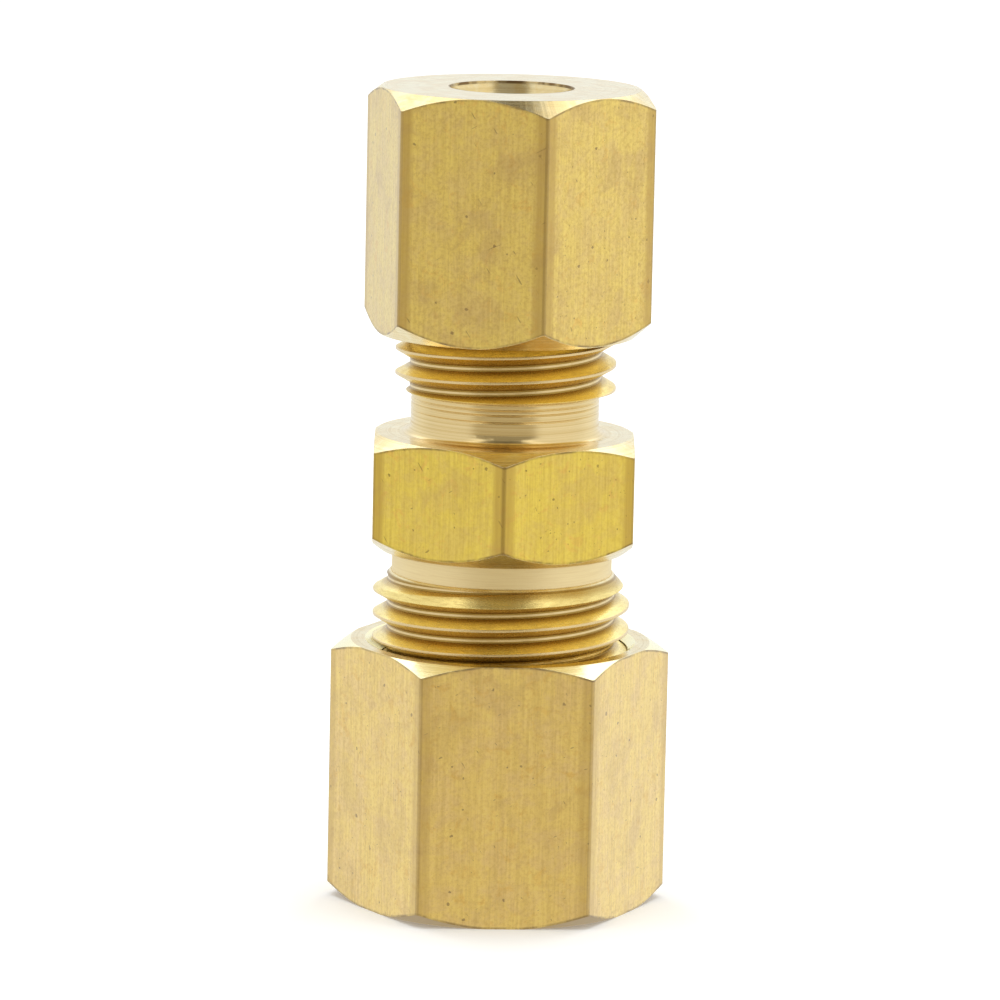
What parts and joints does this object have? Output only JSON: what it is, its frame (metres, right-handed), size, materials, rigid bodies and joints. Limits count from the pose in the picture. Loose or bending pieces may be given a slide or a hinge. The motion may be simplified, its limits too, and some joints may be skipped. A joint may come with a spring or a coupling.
{
  "type": "compression fitting",
  "caption": "Straight brass compression union that joins two tubes of different size with screw-on hexagon nuts and sealing sleeves.",
  "frame": {"origin": "centre of the tube end face of the large nut, which the fitting stands on", "axes": "+Z along the tube axis, from the large nut up to the small nut; -Y is the front, towards one corner of the middle hexagon"},
  "size_m": [0.0146, 0.013, 0.0353],
  "materials": {
    "union_body": "turned and milled, bright",
    "small_nut": "drawn flats, turned ends",
    "large_nut": "drawn flats, turned ends",
    "small_sleeve": "turned, bright",
    "large_sleeve": "turned, bright"
  },
  "bodies": {
    "large_nut": {"large_nut": "large_nut"},
    "large_sleeve": {"large_sleeve": "large_sleeve"},
    "union_body": {"union_body": "union_body"},
    "small_sleeve": {"small_sleeve": "small_sleeve"},
    "small_nut": {"small_nut": "small_nut"}
  },
  "joints": [
    {"name": "large_thread_turn", "type": "hinge", "parent": "large_nut", "child": "large_sleeve", "pos_m": [0, 0, 0], "axis": [0, 0, 1], "range_deg": [-360, 1440]},
    {"name": "large_thread_travel", "type": "slide", "parent": "large_sleeve", "child": "union_body", "axis": [0, 0, 1], "range_m": [-0.00106, 0.00424]},
    {"name": "small_thread_turn", "type": "hinge", "parent": "union_body", "child": "small_sleeve", "pos_m": [0, 0, 0.0294], "axis": [0, 0, 1], "range_deg": [-360, 1350]},
    {"name": "small_thread_travel", "type": "slide", "parent": "small_sleeve", "child": "small_nut", "axis": [0, 0, 1], "range_m": [-0.00106, 0.00397]}
  ],
  "couplings": [
    {"joint": "large_thread_travel", "follows": "large_thread_turn", "m_per_rad": 0.00016844},
    {"joint": "small_thread_travel", "follows": "small_thread_turn", "m_per_rad": 0.00016844}
  ]
}
